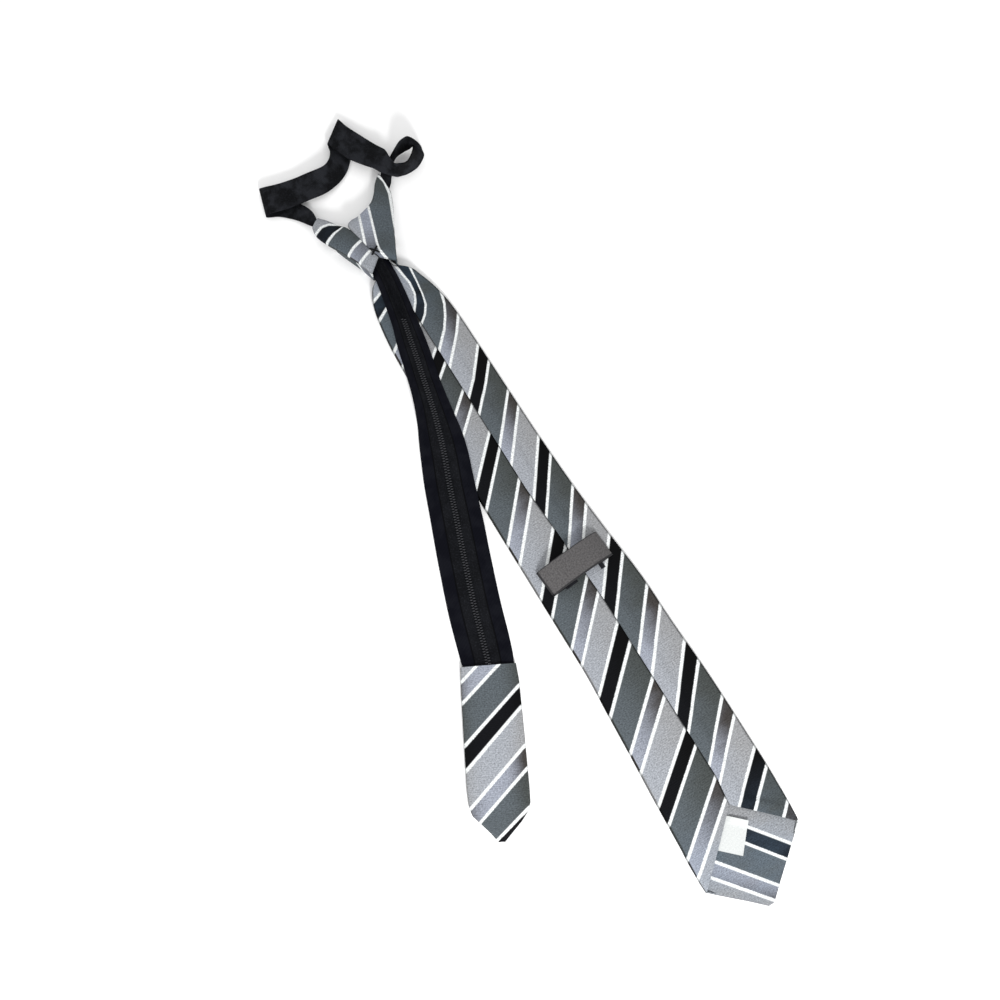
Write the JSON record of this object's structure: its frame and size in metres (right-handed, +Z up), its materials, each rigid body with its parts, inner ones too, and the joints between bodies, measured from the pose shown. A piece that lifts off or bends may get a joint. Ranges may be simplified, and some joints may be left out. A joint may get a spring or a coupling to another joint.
{
  "type": "zipper necktie",
  "caption": "Striped zipper necktie lying face down, with its knot, folded neck band, zipper strip and pointed tail sleeve.",
  "frame": {"origin": "on the resting front face of the blade, by the corners of its pointed tip, at the height of the table", "axes": "+Y along the blade towards the knot, +Z up, out of the tie's back, +X to the right as seen from above with the knot at the far end"},
  "size_m": [0.227, 0.6759, 0.0194],
  "materials": {
    "striped_silk": "satin",
    "lining_silk": "satin",
    "label_white": "matte",
    "keeper_satin": "satin",
    "black_tape": "matte",
    "black_thread": "matte",
    "coil_nylon": "satin"
  },
  "bodies": {
    "root": {"blade_shell": "striped_silk", "tip_lining": "lining_silk", "care_label": "label_white", "keeper_loop": "keeper_satin", "knot_wrap": "striped_silk", "left_sleeve": "striped_silk", "right_sleeve": "striped_silk", "neck_band": "black_tape", "bar_tack": "black_thread", "tape_left": "black_tape", "tape_right": "black_tape", "zipper_coil": "coil_nylon", "tail_sleeve": "striped_silk"}
  },
  "joints": []
}
